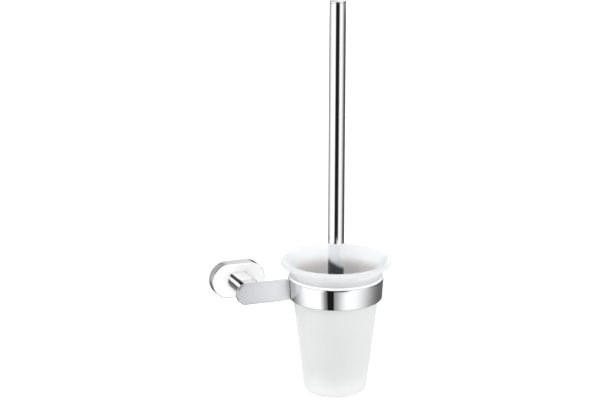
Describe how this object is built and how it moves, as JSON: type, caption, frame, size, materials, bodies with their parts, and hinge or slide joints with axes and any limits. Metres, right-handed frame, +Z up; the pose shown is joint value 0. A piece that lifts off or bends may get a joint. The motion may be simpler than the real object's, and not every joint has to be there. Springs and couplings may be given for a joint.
{
  "type": "toilet brush holder",
  "caption": "Wall-mounted toilet brush holder: a round-ended rosette, post, flat arm and ring carry a frosted glass cup with a tube-handled brush.",
  "frame": {"origin": "middle of the rosette, on the wall's surface", "axes": "+Z up, +X to the right along the wall as seen from the room, +Y into the wall; the room is towards -Y"},
  "size_m": [0.1669, 0.1199, 0.401],
  "materials": {
    "chrome": "polished, the arm's face slightly satin",
    "cast_zinc": "plain cast",
    "steel": "zinc plated",
    "brass": "turned",
    "frosted_glass": "satin frosted outside and in",
    "white_plastic": "smooth",
    "bristle": "nylon filaments"
  },
  "bodies": {
    "holder": {"wall_bracket": "cast_zinc", "rosette": "chrome", "grub_screw": "steel", "post": "chrome", "support_arm": "chrome", "arm_stud_left": "steel", "stud_washer_left": "steel", "stud_nut_left": "steel", "arm_stud_right": "steel", "stud_washer_right": "steel", "stud_nut_right": "steel", "ring_band": "chrome", "ring_screw_outer": "steel", "ring_screw_inner": "steel", "ring_liner": "white_plastic"},
    "cup": {"glass_cup": "frosted_glass"},
    "brush_head": {"head_stud": "steel", "head_collar": "white_plastic", "brush_core": "white_plastic", "bristle_row_1": "bristle", "bristle_row_2": "bristle", "bristle_row_3": "bristle", "bristle_row_4": "bristle", "bristle_row_5": "bristle", "bristle_row_6": "bristle", "bristle_row_7": "bristle", "bristle_row_8": "bristle", "bristle_tip": "bristle"},
    "brush_handle": {"handle_tube": "chrome", "handle_cap": "chrome", "handle_insert": "brass"}
  },
  "joints": [
    {"name": "cup_lift", "type": "slide", "parent": "holder", "child": "cup", "axis": [0, 0, 1], "range_m": [0, 0.14]},
    {"name": "brush_lift", "type": "slide", "parent": "cup", "child": "brush_head", "axis": [0, 0, 1], "range_m": [0, 0.15]},
    {"name": "handle_unscrew", "type": "slide", "parent": "brush_head", "child": "brush_handle", "axis": [0, 0, 1], "range_m": [0, 0.024]}
  ]
}
